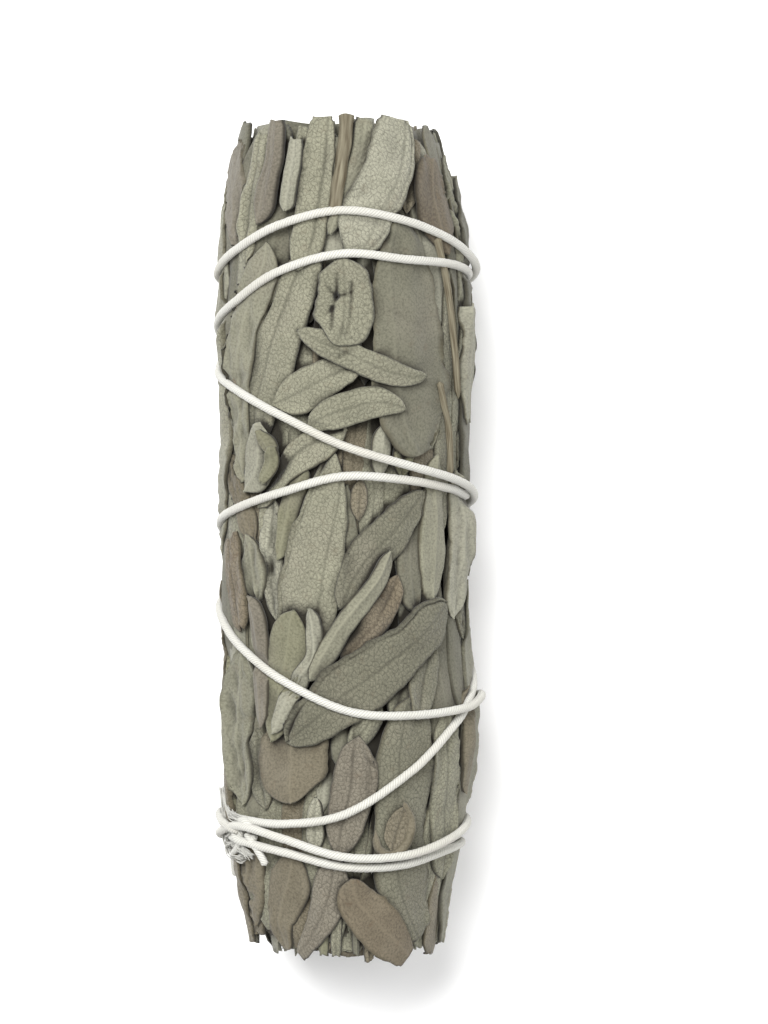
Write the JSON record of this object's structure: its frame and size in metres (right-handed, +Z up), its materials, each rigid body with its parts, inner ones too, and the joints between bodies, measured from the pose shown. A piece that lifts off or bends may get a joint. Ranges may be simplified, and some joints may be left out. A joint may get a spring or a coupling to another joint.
{
  "type": "sage bunch",
  "caption": "bundle of dried sage leaves lying down, wound round with white cotton string that is knotted near one end",
  "frame": {"origin": "on the surface that the bundle rests on, under the middle of its bounding box", "axes": "+Y along the bundle towards the end with the cut stem, +Z up, towards the side seen in the picture"},
  "size_m": [0.0327, 0.1008, 0.0301],
  "materials": {
    "grey_leaf": "matt, grey green underside of a dried leaf",
    "green_leaf": "matt, pale grey green with a fine net of veins",
    "olive_leaf": "matt, olive green",
    "tan_leaf": "matt, tan",
    "brown_leaf": "matt, mottled brown",
    "pale_leaf": "matt, pale felted leaf",
    "pinkish_leaf": "matt, pinkish grey",
    "stem": "matt, dry yellow brown stem",
    "cotton_string": "matt, twisted off-white cotton",
    "packed_leaves": "matt, shaded inner leaves"
  },
  "bodies": {
    "root": {"back_leaf_1": "green_leaf", "back_leaf_10": "pale_leaf", "back_leaf_11": "green_leaf", "back_leaf_12": "grey_leaf", "back_leaf_13": "tan_leaf", "back_leaf_14": "green_leaf", "back_leaf_2": "grey_leaf", "back_leaf_3": "tan_leaf", "back_leaf_4": "green_leaf", "back_leaf_5": "pale_leaf", "back_leaf_6": "green_leaf", "back_leaf_7": "grey_leaf", "back_leaf_8": "tan_leaf", "back_leaf_9": "green_leaf", "bottom_tag_leaf": "grey_leaf", "broad_top_leaf": "pale_leaf", "centre_lower_leaf": "pinkish_leaf", "centre_tip_leaf": "green_leaf", "cotton_string": "cotton_string", "crinkled_leaf": "green_leaf", "crossing_leaf": "green_leaf", "cut_fold_leaf": "pale_leaf", "cut_roll": "tan_leaf", "diagonal_leaf": "grey_leaf", "leaf_stalk": "stem", "left_band_leaf": "green_leaf", "left_brown_leaf": "brown_leaf", "left_cup_leaf": "tan_leaf", "left_roll": "green_leaf", "left_strip_leaf": "grey_leaf", "left_tip_leaf": "green_leaf", "long_left_leaf": "green_leaf", "looped_roll": "pale_leaf", "lower_pointed_leaf": "green_leaf", "mottled_leaf": "brown_leaf", "narrow_top_leaf": "green_leaf", "net_leaf": "green_leaf", "olive_leaf": "olive_leaf", "packed_leaves": "packed_leaves", "pale_front_leaf": "pale_leaf", "pale_limb": "pale_leaf", "pointed_net_leaf": "grey_leaf", "purple_leaf": "pinkish_leaf", "right_curl_leaf": "grey_leaf", "right_edge_leaf": "green_leaf", "right_knob_leaf": "tan_leaf", "right_lower_leaf": "grey_leaf", "right_pale_leaf": "pale_leaf", "right_slip_leaf": "pale_leaf", "right_tube_leaf": "green_leaf", "scroll_leaf": "tan_leaf", "side_stem": "stem", "slanted_leaf": "green_leaf", "tan_roll": "tan_leaf", "tan_tip_leaf": "tan_leaf", "top_stem": "stem", "torn_brown_leaf": "brown_leaf", "upper_pointed_leaf": "green_leaf", "wide_smooth_leaf": "grey_leaf"}
  },
  "joints": []
}
